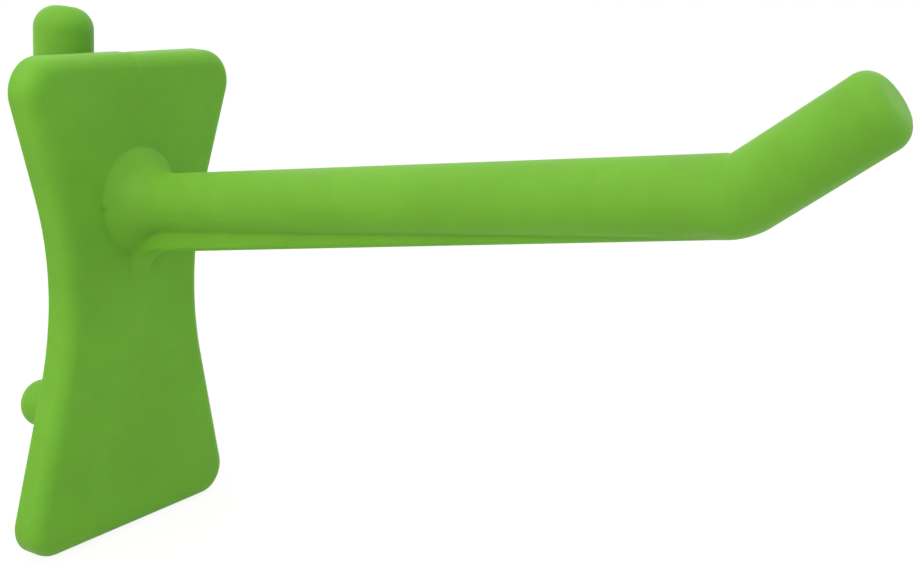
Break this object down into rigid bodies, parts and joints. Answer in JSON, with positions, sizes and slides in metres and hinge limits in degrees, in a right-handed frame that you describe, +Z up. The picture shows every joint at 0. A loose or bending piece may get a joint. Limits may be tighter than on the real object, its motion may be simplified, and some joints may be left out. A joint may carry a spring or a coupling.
{
  "type": "pegboard hook",
  "caption": "One-piece moulded hook for perforated board: waisted plate, ribbed round arm with an upturned tip in front, L-shaped peg and straight pin behind.",
  "frame": {"origin": "in the middle of the plate's back face", "axes": "+Y into the board, along the pegs; the arm points to -Y; +Z up; X across the plate"},
  "size_m": [0.027, 0.0885, 0.0532],
  "materials": {
    "green_plastic": "satin, as moulded"
  },
  "bodies": {
    "root": {"hook": "green_plastic"}
  },
  "joints": []
}
